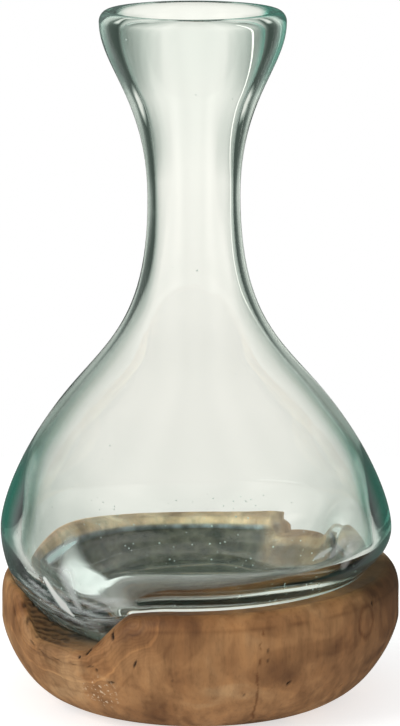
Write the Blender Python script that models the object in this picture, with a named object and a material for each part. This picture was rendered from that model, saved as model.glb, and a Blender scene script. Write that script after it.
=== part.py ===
# Bottle vase: a blown recycled-glass bottle slumped into a hollowed root-wood base.
# Metres, +Z up, the foot stands on z = 0 and its middle is the origin. The front is -Y.
import math

import bpy

# Wooden base, outer form
FOOT_RADIUS = 0.0483
BASE_RADIUS = 0.0912
UNDERSIDE_HEIGHT = 0.0372
UNDERSIDE_FULLNESS = 2.82
UNDERSIDE_SPRING = 1.273
RIM_HEIGHT = 0.059
RIM_TILT = 0.0018
RIM_SHIFT_X = 0.0014
RIM_BACK_DROP = 0.0035
RIM_CORNER_WIDTH = 0.006
RIM_CORNER_DROP = 0.011

# Hollow in the base, and the print that it leaves in the glass
SEAT_RADIUS = 0.0765
SEAT_EDGE_ROUND = 0.003
FOLD_SLOPE = 38.0
HOLLOW_FLOOR_RADIUS = 0.052
HOLLOW_FLOOR_HEIGHT = 0.034
SEAT_GAP = 0.0003

# Notch carved through the rim at the front left, and how far the rim dips towards it
NOTCH_START = 201.0
NOTCH_END = 250.0
NOTCH_RUN_DOWN = 14.0
NOTCH_RUN_UP = 17.0
NOTCH_FLOOR_HEIGHT = 0.038
NOTCH_LIP_ROUND = 0.005
RIM_DIP = 0.004
RIM_DIP_REACH = 12.0

# Lower step in the rim at the back right
STEP_START = 26.0
STEP_END = 60.0
STEP_RUN_UP = 12.0
STEP_RUN_DOWN = 3.0
STEP_DEPTH = 0.009

# How far round from each cut the glass turns from hanging free to folding over the rim, in degrees
SAG_EASE_LEFT = 58.0
SAG_HOLD_LEFT = 8.0
SAG_EASE = 10.0
STEP_SAG_EASE = 22.0

# Bottle, outer form
BELLY_RADIUS = 0.0894
BELLY_HEIGHT = 0.078
BELLY_PULL = 0.011
SHOULDER_RADIUS = 0.060
SHOULDER_HEIGHT = 0.1385
SHOULDER_SLOPE = 1.25
SHOULDER_PULL_DOWN = 0.032
SHOULDER_PULL_UP = 0.031
WAIST_RADIUS = 0.0209
WAIST_HEIGHT = 0.2305
WAIST_PULL_DOWN = 0.057
WAIST_PULL_UP = 0.044
LIP_RADIUS = 0.0419
LIP_HEIGHT = 0.309
LIP_PULL = 0.020
LIP_CROWN = 0.0052
BOTTLE_SHIFT_X = -0.0006
BOTTLE_LEAN_X = -0.0014

# Glass walls, from the floor to the lip. The belly is thicker at its sides than at its front and back.
FLOOR_THICKNESS = 0.008
INNER_FLOOR_RADIUS = 0.046
WALL_FOLD = 0.0065
WALL_BELLY_SIDES = 0.0064
WALL_BELLY_FRONT = 0.0046
WALL_LOWER_SHOULDER = 0.0025
LOWER_SHOULDER_HEIGHT = 0.118
WALL_SHOULDER = 0.0028
WALL_WAIST = 0.0034
WALL_FLARE = 0.0060
WALL_LIP = 0.0092

# Facets
COARSE_STEP = 7.7
FINE_STEP = 3.2
BULGE_ROWS = 5
FOLD_ROWS = 3
BOWL_ROWS = 5


def mix(a, b, share):
    return a + (b - a) * share


def smooth(share):
    share = min(1.0, max(0.0, share))
    return share * share * (3.0 - 2.0 * share)


def window(angle, rise_start, rise_end, fall_start, fall_end):
    # 0 outside, 1 between rise_end and fall_start, with soft flanks. Angles in degrees.
    rise = smooth((angle - rise_start) / (rise_end - rise_start))
    fall = smooth((angle - fall_start) / (fall_end - fall_start))
    return rise * (1.0 - fall)


def notch_share(angle):
    # How much of the notch's depth is cut at this angle round the base
    return window(angle, NOTCH_START, NOTCH_START + NOTCH_RUN_DOWN, NOTCH_END - NOTCH_RUN_UP, NOTCH_END)


def step_share(angle):
    return window(angle, STEP_START, STEP_START + STEP_RUN_UP, STEP_END - STEP_RUN_DOWN, STEP_END)


def sag_share(angle):
    # Where the rim is cut away the hot glass hangs free as a round bowl, elsewhere it folds over the rim
    notch_sag = window(angle, NOTCH_START - SAG_EASE_LEFT, NOTCH_START - SAG_HOLD_LEFT,
                       NOTCH_END - SAG_EASE, NOTCH_END)
    step_sag = window(angle, STEP_START - SAG_EASE, STEP_START + STEP_RUN_UP,
                      STEP_END - STEP_SAG_EASE, STEP_END)
    return max(notch_sag, step_sag)


def whole_rim_height(angle):
    # The rim before the notch and the step are cut: a little higher on the right and lower at the back,
    # with a dip round the notch
    dip = window(angle, NOTCH_START - RIM_DIP_REACH, NOTCH_START + NOTCH_RUN_DOWN,
                 NOTCH_END - NOTCH_RUN_UP, NOTCH_END + RIM_DIP_REACH)
    back = max(0.0, math.sin(math.radians(angle))) ** 2
    return RIM_HEIGHT + RIM_TILT * math.cos(math.radians(angle)) - RIM_BACK_DROP * back - RIM_DIP * dip


def rim_height(angle):
    height = whole_rim_height(angle) - STEP_DEPTH * step_share(angle)
    return mix(height, NOTCH_FLOOR_HEIGHT, notch_share(angle))


def base_outer_radius(height):
    # Round underside that springs from the foot and turns upright at UNDERSIDE_HEIGHT
    if height >= UNDERSIDE_HEIGHT:
        return BASE_RADIUS
    share = 1.0 - height / UNDERSIDE_HEIGHT
    turn = math.acos(share ** (UNDERSIDE_SPRING / 2))
    return FOOT_RADIUS + (BASE_RADIUS - FOOT_RADIUS) * math.sin(turn) ** (2 / UNDERSIDE_FULLNESS)


def outer_shift(height):
    # The foot is centred on the origin and the rim a little to the right of it
    return RIM_SHIFT_X * min(1.0, height / UNDERSIDE_HEIGHT)


def supported_form(angle, off_wood, belly_radius, floor_radius, floor):
    # Outline where the rim carries the glass, from the belly to the floor: slope, fold over the rim, bowl.
    # All of it but the belly keeps a distance from the wood, so it serves both faces of the glass.
    middle_r = SEAT_RADIUS + SEAT_EDGE_ROUND
    middle_z = whole_rim_height(angle) - SEAT_EDGE_ROUND
    arc = SEAT_EDGE_ROUND + off_wood
    slope = math.radians(FOLD_SLOPE)
    end = (middle_r - arc * math.sin(slope), middle_z + arc * math.cos(slope))
    pull_z = end[1] + (belly_radius - end[0]) * math.tan(slope)
    points = []
    for i in range(BULGE_ROWS):
        share = i / BULGE_ROWS
        points.append((belly_radius + (end[0] - belly_radius) * share * share,
                       (1 - share) ** 2 * BELLY_HEIGHT + 2 * share * (1 - share) * pull_z + share * share * end[1]))
    for i in range(FOLD_ROWS + 1):
        turn = math.radians(mix(FOLD_SLOPE, 90.0, i / FOLD_ROWS))
        points.append((middle_r - arc * math.sin(turn), middle_z + arc * math.cos(turn)))
    for i in range(1, BOWL_ROWS + 1):
        turn = math.radians(90.0 * i / BOWL_ROWS)
        points.append((floor_radius + (middle_r - arc - floor_radius) * math.cos(turn),
                       middle_z - (middle_z - floor) * math.sin(turn)))
    return points


def free_radius(height, belly_radius, floor_radius, floor):
    # Outline where nothing carries the glass: a plain quarter ellipse from the belly to the floor
    drop = (BELLY_HEIGHT - height) / (BELLY_HEIGHT - floor)
    return floor_radius + (belly_radius - floor_radius) * math.sqrt(max(0.0, 1.0 - drop * drop))


def lower_form(angle, off_wood, belly_radius, floor_radius, floor):
    # One face of the glass below the belly at one angle. The two forms are blended at equal heights.
    share = sag_share(angle)
    return [(mix(r, free_radius(z, belly_radius, floor_radius, floor), share), z)
            for r, z in supported_form(angle, off_wood, belly_radius, floor_radius, floor)]


def glass_print(angle):
    return lower_form(angle, SEAT_GAP, BELLY_RADIUS, HOLLOW_FLOOR_RADIUS, HOLLOW_FLOOR_HEIGHT + SEAT_GAP)


def offset_out(points, distance):
    # Moves an outline that runs down and inward by a distance to its outer side
    moved = []
    for i, (r, z) in enumerate(points):
        before = points[max(0, i - 1)]
        after = points[min(len(points) - 1, i + 1)]
        run = (after[0] - before[0], after[1] - before[1])
        length = math.hypot(*run)
        moved.append((r - run[1] / length * distance, z + run[0] / length * distance))
    return moved


def seat_outline(angle):
    # The hollow at one angle: the rim's round inner edge, then the glass's print with its clearance
    edge = []
    for turn in (0.0, math.radians(FOLD_SLOPE) / 2):
        radius = SEAT_RADIUS + SEAT_EDGE_ROUND * (1.0 - math.sin(turn))
        height = whole_rim_height(angle) - SEAT_EDGE_ROUND * (1.0 - math.cos(turn))
        free = free_radius(height, BELLY_RADIUS, HOLLOW_FLOOR_RADIUS, HOLLOW_FLOOR_HEIGHT + SEAT_GAP)
        edge.append((mix(radius, free + 1.5 * SEAT_GAP, sag_share(angle)), height))
    seat = offset_out(glass_print(angle), SEAT_GAP)[BULGE_ROWS:]
    seat[-1] = (HOLLOW_FLOOR_RADIUS, HOLLOW_FLOOR_HEIGHT)
    return edge + seat


def base_outline(angle):
    # One radial outline of the base from the foot's middle, round the rim, to the hollow's middle
    rim = rim_height(angle)
    seat = seat_outline(angle)
    seat_edge = seat[0][0]
    rim_width = BASE_RADIUS + (RIM_SHIFT_X - BOTTLE_SHIFT_X) * math.cos(math.radians(angle)) - seat_edge
    cut = notch_share(angle)
    width = min(mix(RIM_CORNER_WIDTH, NOTCH_LIP_ROUND, cut), rim_width * 0.7)
    drop = mix(RIM_CORNER_DROP, NOTCH_LIP_ROUND, cut)
    points = []
    for share in (0.0, 0.04, 0.14, 0.3, 0.5, 0.75, 1.0):
        height = (rim - drop) * share
        points.append((base_outer_radius(height), height, outer_shift(height)))
    for i in range(1, 5):
        turn = math.radians(90.0 * i / 4)
        height = rim - drop + drop * math.sin(turn)
        radius = base_outer_radius(height) - width * (1.0 - math.cos(turn))
        points.append((radius, height, outer_shift(height)))
    shoulder_end = points[-1][0]
    for share in (0.35, 0.7):
        points.append((mix(shoulder_end, seat_edge, share), rim, mix(RIM_SHIFT_X, BOTTLE_SHIFT_X, share)))
    for r, z in seat:
        points.append((r, min(z, rim), BOTTLE_SHIFT_X))
    return points


def bend(p0, p1, p2, p3, share):
    # Point on a curve with two end points and two pulls
    rest = 1.0 - share
    return tuple(rest ** 3 * a + 3 * rest * rest * share * b + 3 * rest * share * share * c + share ** 3 * d
                 for a, b, c, d in zip(p0, p1, p2, p3))


def bottle_outer_outline():
    # Belly to lip: shoulder in two bends, then the waisted neck and its flare
    length = math.hypot(1.0, SHOULDER_SLOPE)
    way = (-1.0 / length, SHOULDER_SLOPE / length)
    belly = (BELLY_RADIUS, BELLY_HEIGHT)
    shoulder = (SHOULDER_RADIUS, SHOULDER_HEIGHT)
    waist = (WAIST_RADIUS, WAIST_HEIGHT)
    lip = (LIP_RADIUS, LIP_HEIGHT)
    below = (shoulder[0] - way[0] * SHOULDER_PULL_DOWN, shoulder[1] - way[1] * SHOULDER_PULL_DOWN)
    above = (shoulder[0] + way[0] * SHOULDER_PULL_UP, shoulder[1] + way[1] * SHOULDER_PULL_UP)
    bends = [
        (belly, (BELLY_RADIUS, BELLY_HEIGHT + BELLY_PULL), below, shoulder, 6),
        (shoulder, above, (WAIST_RADIUS, WAIST_HEIGHT - WAIST_PULL_DOWN), waist, 7),
        (waist, (WAIST_RADIUS, WAIST_HEIGHT + WAIST_PULL_UP), (LIP_RADIUS, LIP_HEIGHT - LIP_PULL), lip, 7),
    ]
    points = [belly]
    for p0, p1, p2, p3, count in bends:
        for i in range(1, count + 1):
            points.append(bend(p0, p1, p2, p3, i / count))
    return points


def belly_wall(angle):
    return mix(WALL_BELLY_FRONT, WALL_BELLY_SIDES, math.cos(math.radians(angle)) ** 2)


def wall_thickness(height, angle):
    # Wall by height: thick at the belly, thin on the shoulder, thicker again to the lip
    stations = [
        (BELLY_HEIGHT, belly_wall(angle)),
        (LOWER_SHOULDER_HEIGHT, WALL_LOWER_SHOULDER),
        (SHOULDER_HEIGHT, WALL_SHOULDER),
        (WAIST_HEIGHT, WALL_WAIST),
        (mix(WAIST_HEIGHT, LIP_HEIGHT, 0.55), WALL_FLARE),
        (LIP_HEIGHT, WALL_LIP),
    ]
    for (z1, t1), (z2, t2) in zip(stations, stations[1:]):
        if height <= z2:
            return mix(t1, t2, smooth((height - z1) / (z2 - z1)))
    return WALL_LIP


def bottle_inner_outline(angle):
    # Lip to the inner floor: the outer outline moved in by the wall, then the inner face of the bowl
    outer = bottle_outer_outline()
    inner = []
    for i, (r, z) in enumerate(outer):
        before = outer[max(0, i - 1)]
        after = outer[min(len(outer) - 1, i + 1)]
        run = (after[0] - before[0], after[1] - before[1])
        if i == 0 or i == len(outer) - 1:
            run = (0.0, 1.0)
        length = math.hypot(*run)
        wall = wall_thickness(z, angle)
        inner.append((r - run[1] / length * wall, z + run[0] / length * wall))
    inner.reverse()
    bowl = lower_form(angle, SEAT_GAP + WALL_FOLD, inner[-1][0], INNER_FLOOR_RADIUS,
                      HOLLOW_FLOOR_HEIGHT + SEAT_GAP + FLOOR_THICKNESS)
    return inner + bowl[1:]


def bottle_outline(angle):
    # One radial outline of the bottle from the middle of its underside, over the lip, to the inner floor
    points = list(reversed(glass_print(angle)))
    outer = bottle_outer_outline()
    inner = bottle_inner_outline(angle)
    points += outer[1:]
    middle = (LIP_RADIUS + inner[0][0]) / 2
    half = (LIP_RADIUS - inner[0][0]) / 2
    for i in range(1, 6):
        turn = math.radians(180.0 * i / 6)
        points.append((middle + half * math.cos(turn), LIP_HEIGHT + LIP_CROWN * math.sin(turn)))
    points += inner
    lean = BOTTLE_LEAN_X / (LIP_HEIGHT - BELLY_HEIGHT)
    return [(r, z, BOTTLE_SHIFT_X + lean * max(0.0, z - BELLY_HEIGHT)) for r, z in points]


def angles_round():
    # Facets are finer where the rim is cut
    angles = []
    step_from = STEP_START - SAG_EASE
    step_to = STEP_END + SAG_EASE
    notch_from = NOTCH_START - FINE_STEP
    notch_to = NOTCH_END + FINE_STEP
    zones = [(step_from, step_to, FINE_STEP), (step_to, notch_from, COARSE_STEP),
             (notch_from, notch_to, FINE_STEP), (notch_to, 360.0 + step_from, COARSE_STEP)]
    for start, end, step in zones:
        count = max(1, round((end - start) / step))
        angles += [start + (end - start) * i / count for i in range(count)]
    return [angle % 360.0 for angle in angles]


def swept_mesh(name, outline_at, bottom, top):
    # Closed skin from one radial outline per angle, with a middle point at each end
    angles = angles_round()
    vertices = []
    for angle in angles:
        across = math.cos(math.radians(angle))
        along = math.sin(math.radians(angle))
        for r, z, shift in outline_at(angle):
            vertices.append((r * across + shift, r * along, z))
    rows = len(vertices) // len(angles)
    faces = []
    for i in range(len(angles)):
        j = (i + 1) % len(angles)
        for k in range(rows - 1):
            faces.append((i * rows + k, j * rows + k, j * rows + k + 1, i * rows + k + 1))
    low = len(vertices)
    vertices += [bottom, top]
    for i in range(len(angles)):
        j = (i + 1) % len(angles)
        faces.append((low, j * rows, i * rows))
        faces.append((low + 1, i * rows + rows - 1, j * rows + rows - 1))
    mesh = bpy.data.meshes.new(name)
    mesh.from_pydata(vertices, [], faces)
    mesh.validate()
    for polygon in mesh.polygons:
        polygon.use_smooth = True
    return mesh


def glass_material():
    # Recycled glass: clear with a green-blue tint
    material = bpy.data.materials.new("recycled_glass")
    material.use_nodes = True
    surface = material.node_tree.nodes["Principled BSDF"]
    surface.inputs["Base Color"].default_value = (0.72, 0.86, 0.80, 1.0)
    surface.inputs["Roughness"].default_value = 0.03
    surface.inputs["Metallic"].default_value = 0.0
    surface.inputs["IOR"].default_value = 1.52
    surface.inputs["Transmission Weight"].default_value = 0.9
    return material


def wood_material():
    # Oiled root wood: warm mid brown with a dull sheen
    material = bpy.data.materials.new("oiled_root_wood")
    material.use_nodes = True
    surface = material.node_tree.nodes["Principled BSDF"]
    surface.inputs["Base Color"].default_value = (0.29, 0.162, 0.075, 1.0)
    surface.inputs["Roughness"].default_value = 0.55
    surface.inputs["Metallic"].default_value = 0.0
    return material


def add_piece(name, mesh, material):
    piece = bpy.data.objects.new(name, mesh)
    piece.data.materials.append(material)
    bpy.context.scene.collection.objects.link(piece)
    return piece


def wooden_base():
    mesh = swept_mesh("wooden_base", base_outline, (0.0, 0.0, 0.0),
                      (BOTTLE_SHIFT_X, 0.0, HOLLOW_FLOOR_HEIGHT))
    return add_piece("wooden_base", mesh, wood_material())


def glass_bottle():
    floor = HOLLOW_FLOOR_HEIGHT + SEAT_GAP
    mesh = swept_mesh("glass_bottle", bottle_outline, (BOTTLE_SHIFT_X, 0.0, floor),
                      (BOTTLE_SHIFT_X, 0.0, floor + FLOOR_THICKNESS))
    return add_piece("glass_bottle", mesh, glass_material())


def main():
    for old in list(bpy.data.objects):
        bpy.data.objects.remove(old, do_unlink=True)
    wooden_base()
    glass_bottle()


main()
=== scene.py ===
import math
from functools import partial

import bpy
import numpy as np
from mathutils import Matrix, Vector, noise


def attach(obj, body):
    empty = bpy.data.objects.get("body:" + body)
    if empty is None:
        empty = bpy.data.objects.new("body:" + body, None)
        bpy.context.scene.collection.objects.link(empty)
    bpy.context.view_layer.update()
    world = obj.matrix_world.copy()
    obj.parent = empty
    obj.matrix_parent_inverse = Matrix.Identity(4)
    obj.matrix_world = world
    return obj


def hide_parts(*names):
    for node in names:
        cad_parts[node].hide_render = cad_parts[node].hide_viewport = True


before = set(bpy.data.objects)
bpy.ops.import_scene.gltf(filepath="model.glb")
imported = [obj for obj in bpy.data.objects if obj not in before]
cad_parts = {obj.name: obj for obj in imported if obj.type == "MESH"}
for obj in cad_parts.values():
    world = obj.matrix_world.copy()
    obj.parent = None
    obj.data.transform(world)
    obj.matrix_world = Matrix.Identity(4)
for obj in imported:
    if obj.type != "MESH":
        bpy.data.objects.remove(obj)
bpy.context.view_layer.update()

# Sizes that the glass and the wood share, in metres. Angles are in degrees from the right; 270 is the front.
vaseShape = {
    "footRadius": 0.0483, "baseRadius": 0.09112, "undersideHeight": 0.0372,
    "undersideFullness": 2.82, "undersideSpring": 1.273,
    "rimHeight": 0.059, "rimTilt": 0.0018, "rimShiftX": 0.0014, "rimBackDrop": 0.0035,
    "shoulderWidth": 0.006, "shoulderDrop": 0.011, "notchLipRound": 0.005,
    "seatRadius": 0.0765, "seatEdgeRound": 0.003, "foldSlope": 38.0,
    "hollowFloorRadius": 0.052, "hollowFloorHeight": 0.034, "seatGap": 0.0003,
    "notchStart": 201.0, "notchEnd": 250.0, "notchRunDown": 14.0, "notchRunUp": 17.0,
    "notchFloorHeight": 0.038, "rimDip": 0.004, "rimDipReach": 12.0,
    "stepStart": 26.0, "stepEnd": 60.0, "stepRunUp": 12.0, "stepRunDown": 3.0, "stepDepth": 0.009,
    "sagEaseLeft": 58.0, "sagHoldLeft": 8.0, "sagEase": 10.0, "stepSagEase": 22.0,
    "bellyRadius": 0.08928, "bellyHeight": 0.078,
}


def mix(a, b, share):
    return a + (b - a) * share


def rise(value, start, end):
    # 0 at the start, 1 at the end, smooth in between
    share = np.clip((value - start) / (end - start), 0.0, 1.0)
    return share * share * (3.0 - 2.0 * share)


def window(value, riseStart, riseEnd, fallStart, fallEnd):
    return rise(value, riseStart, riseEnd) * (1.0 - rise(value, fallStart, fallEnd))


# Kinds of node that come up often, each with Blender's name and what is set on it
nodeKinds = {word: ("ShaderNodeMath", {"operation": word.upper()}) for word in (
    "add", "subtract", "multiply", "multiply_add", "divide", "power", "maximum", "absolute",
    "sine", "cosine", "arctan2", "pingpong")}
nodeKinds.update({"vector_" + word: ("ShaderNodeVectorMath", {"operation": word.upper()}) for word in (
    "subtract", "scale", "distance", "dot_product", "multiply_add")})
nodeKinds.update({
    "range": ("ShaderNodeMapRange", {}),
    "softRange": ("ShaderNodeMapRange", {"interpolation_type": "SMOOTHSTEP"}),
    "numberMix": ("ShaderNodeMix", {"data_type": "FLOAT"}),
    "colourMix": ("ShaderNodeMix", {"data_type": "RGBA"}),
    "colourTimes": ("ShaderNodeMix", {"data_type": "RGBA", "blend_type": "MULTIPLY"}),
    "storedNumber": ("GeometryNodeInputNamedAttribute", {"data_type": "FLOAT"}),
})


def addNode(tree, kind, *inputs, **named):
    # Adds a node. Its inputs are values or the nodes that feed them, in the order in which it shows them.
    # Settings go by name, and inputs may too.
    name, settings = nodeKinds.get(kind, (kind, {}))
    node = tree.nodes.new(name)
    for setting, value in {**settings, **named}.items():
        if hasattr(node, setting):
            setattr(node, setting, value)
    sockets = [socket for socket in node.inputs if socket.enabled]
    fed = list(zip(sockets, inputs))
    fed += [(socket, named[socket.name]) for socket in sockets if socket.name in named]
    for socket, value in fed:
        if isinstance(value, bpy.types.Node):
            value = next(output for output in value.outputs if output.enabled)
        if isinstance(value, bpy.types.NodeSocket):
            tree.links.new(value, socket)
        elif value is not None:
            socket.default_value = value
    return node


def sizedTree(name, sizes):
    # A Geometry Nodes tree with one named input for each size
    tree = bpy.data.node_groups.new(name, "GeometryNodeTree")
    face = tree.interface
    face.new_socket("Geometry", in_out="INPUT", socket_type="NodeSocketGeometry")
    face.new_socket("Geometry", in_out="OUTPUT", socket_type="NodeSocketGeometry")
    for size, value in sizes.items():
        kind = "NodeSocketInt" if isinstance(value, int) else "NodeSocketFloat"
        face.new_socket(size, in_out="INPUT", socket_type=kind)
    return tree, addNode(tree, "NodeGroupInput").outputs


def settleNodes(piece, tree, sizes):
    # Runs a node tree on a piece with these sizes and keeps the plain mesh that comes out
    modifier = piece.modifiers.new(tree.name, "NODES")
    modifier.node_group = tree
    for item in tree.interface.items_tree:
        if item.in_out == "INPUT" and item.name in sizes:
            modifier[item.identifier] = sizes[item.name]
    bpy.context.view_layer.update()
    ready = piece.evaluated_get(bpy.context.evaluated_depsgraph_get())
    mesh = bpy.data.meshes.new_from_object(ready, preserve_all_data_layers=True,
                                           depsgraph=bpy.context.evaluated_depsgraph_get())
    piece.modifiers.clear()
    mesh.name = piece.name
    piece.data = mesh
    return piece


def linearColour(code):
    # From an sRGB hex value
    values = [int(code[i:i + 2], 16) / 255 for i in (0, 2, 4)]
    return (*(v / 12.92 if v <= 0.04045 else ((v + 0.055) / 1.055) ** 2.4 for v in values), 1.0)


def colourSteps(tree, source, steps, smooth="LINEAR"):
    # A row of colours along one value from 0 to 1, each a hex value, three shares or one grey
    ramp = addNode(tree, "ShaderNodeValToRGB", source)
    ramp.color_ramp.interpolation = smooth
    stops = ramp.color_ramp.elements
    while len(stops) < len(steps):
        stops.new(0.5)
    for stop, (place, colour) in zip(stops, steps):
        if isinstance(colour, str):
            colour = linearColour(colour)[:3]
        stop.position = place
        stop.color = (*(colour if isinstance(colour, tuple) else 3 * (colour,)), 1.0)
    return ramp


def newMaterial(name):
    material = bpy.data.materials.new(name)
    material.use_nodes = True
    material.node_tree.nodes.clear()
    return material, material.node_tree


def newPiece(name, vertices, faces):
    # At the origin and unturned, with its place in its mesh
    mesh = bpy.data.meshes.new(name)
    mesh.from_pydata(vertices, [], faces)
    piece = bpy.data.objects.new(name, mesh)
    bpy.context.scene.collection.objects.link(piece)
    return piece


def giveAttributes(mesh, numbers):
    for name, values in numbers.items():
        attribute = mesh.attributes.new(name, "FLOAT", "POINT")
        attribute.data.foreach_set("value", np.asarray(values, dtype=np.float32))


def notchShare(angle):
    s = vaseShape
    return window(angle, s["notchStart"], s["notchStart"] + s["notchRunDown"],
                  s["notchEnd"] - s["notchRunUp"], s["notchEnd"])


def stepShare(angle):
    s = vaseShape
    return window(angle, s["stepStart"], s["stepStart"] + s["stepRunUp"],
                  s["stepEnd"] - s["stepRunDown"], s["stepEnd"])


def sagShare(angle):
    # 1 where the hot glass hung free beside a cut in the rim, 0 where it folded over the rim
    s = vaseShape
    notchSag = window(angle, s["notchStart"] - s["sagEaseLeft"], s["notchStart"] - s["sagHoldLeft"],
                      s["notchEnd"] - s["sagEase"], s["notchEnd"])
    stepSag = window(angle, s["stepStart"] - s["sagEase"], s["stepStart"] + s["stepRunUp"],
                     s["stepEnd"] - s["stepSagEase"], s["stepEnd"])
    return max(notchSag, stepSag)


def wholeRimHeight(angle):
    s = vaseShape
    dip = window(angle, s["notchStart"] - s["rimDipReach"], s["notchStart"] + s["notchRunDown"],
                 s["notchEnd"] - s["notchRunUp"], s["notchEnd"] + s["rimDipReach"])
    back = max(0.0, math.sin(math.radians(angle))) ** 2
    height = s["rimHeight"] + s["rimTilt"] * math.cos(math.radians(angle))
    return height - s["rimBackDrop"] * back - s["rimDip"] * dip


def rimHeightAt(angle):
    height = wholeRimHeight(angle) - vaseShape["stepDepth"] * stepShare(angle)
    return mix(height, vaseShape["notchFloorHeight"], notchShare(angle))


def baseOuterRadius(height):
    s = vaseShape
    share = np.clip(1.0 - height / s["undersideHeight"], 0.0, 1.0)
    turn = np.arccos(share ** (s["undersideSpring"] / 2))
    reach = s["baseRadius"] - s["footRadius"]
    return s["footRadius"] + reach * np.sin(turn) ** (2 / s["undersideFullness"])


def freeRadius(heights, bellyRadius, floorRadius, floor):
    # Where nothing carried the hot glass: a plain quarter ellipse from the belly to the floor
    drop = (vaseShape["bellyHeight"] - heights) / (vaseShape["bellyHeight"] - floor)
    return floorRadius + (bellyRadius - floorRadius) * np.sqrt(np.clip(1.0 - drop * drop, 0.0, 1.0))


def lowerForm(angle, offWood, bellyRadius, floorRadius, floor, bulgeRows, foldRows, bowlRows):
    # One face of the glass below the belly: slope, fold over the rim and bowl, or the free sag beside a cut
    s = vaseShape
    arc = s["seatEdgeRound"] + offWood
    middle = np.array([s["seatRadius"] + s["seatEdgeRound"], wholeRimHeight(angle) - s["seatEdgeRound"]])
    slope = math.radians(s["foldSlope"])
    start = np.array([bellyRadius, s["bellyHeight"]])
    end = middle + arc * np.array([-math.sin(slope), math.cos(slope)])
    pull = np.array([bellyRadius, end[1] + (bellyRadius - end[0]) * math.tan(slope)])
    share = (np.arange(bulgeRows) / bulgeRows)[:, None]
    bulge = (1.0 - share) ** 2 * start + 2.0 * share * (1.0 - share) * pull + share ** 2 * end
    turn = np.linspace(slope, math.pi / 2, foldRows + 1)
    fold = middle + arc * np.stack([-np.sin(turn), np.cos(turn)], 1)
    turn = math.pi / 2 * np.arange(1, bowlRows + 1) / bowlRows
    bowl = np.stack([floorRadius + (middle[0] - arc - floorRadius) * np.cos(turn),
                     middle[1] - (middle[1] - floor) * np.sin(turn)], 1)
    line = np.concatenate([bulge, fold, bowl])
    line[:, 0] = mix(line[:, 0], freeRadius(line[:, 1], bellyRadius, floorRadius, floor), sagShare(angle))
    return line


def glassPrint(angle, bulgeRows, foldRows, bowlRows):
    s = vaseShape
    return lowerForm(angle, s["seatGap"], s["bellyRadius"], s["hollowFloorRadius"],
                     s["hollowFloorHeight"] + s["seatGap"], bulgeRows, foldRows, bowlRows)


def movedAlongNormal(line, distance):
    run = np.empty_like(line)
    run[1:-1] = line[2:] - line[:-2]
    run[0] = line[1] - line[0]
    run[-1] = line[-1] - line[-2]
    run /= np.linalg.norm(run, axis=1)[:, None]
    return line + np.stack([-run[:, 1], run[:, 0]], 1) * np.reshape(distance, (-1, 1))


def sweptSkin(name, lines, shifts, angles, lowMiddle, highMiddle, lowRows, highRows):
    # Closed skin from one outline per angle. Rows of rings close both ends down to a middle point.
    cosines = np.cos(np.radians(angles))[:, None]
    sines = np.sin(np.radians(angles))[:, None]
    grid = np.stack([lines[:, :, 0] * cosines + shifts, lines[:, :, 0] * sines, lines[:, :, 1]], 2)
    lowRing, highRing = grid[:, :1], grid[:, -1:]
    lowShares = (np.arange(1, lowRows + 1) / (lowRows + 1))[None, :, None]
    highShares = (np.arange(highRows, 0, -1) / (highRows + 1))[None, :, None]
    low = mix(np.array(lowMiddle)[None, None], lowRing, lowShares)
    high = mix(np.array(highMiddle)[None, None], highRing, highShares)
    grid = np.concatenate([low, grid, high], 1)
    columns, rows = grid.shape[:2]
    vertices = grid.reshape(-1, 3).tolist() + [list(lowMiddle), list(highMiddle)]
    i = np.arange(columns)[:, None]
    j = (i + 1) % columns
    k = np.arange(rows - 1)[None, :]
    quads = np.stack([i * rows + k, j * rows + k, j * rows + k + 1, i * rows + k + 1], 2).reshape(-1, 4)
    end = columns * rows
    i = np.arange(columns)
    j = (i + 1) % columns
    lowFan = np.stack([np.full_like(i, end), j * rows, i * rows], 1)
    highFan = np.stack([np.full_like(i, end + 1), i * rows + rows - 1, j * rows + rows - 1], 1)
    piece = newPiece(name, vertices, quads.tolist() + lowFan.tolist() + highFan.tolist())
    piece.data.shade_smooth()
    return piece


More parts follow.
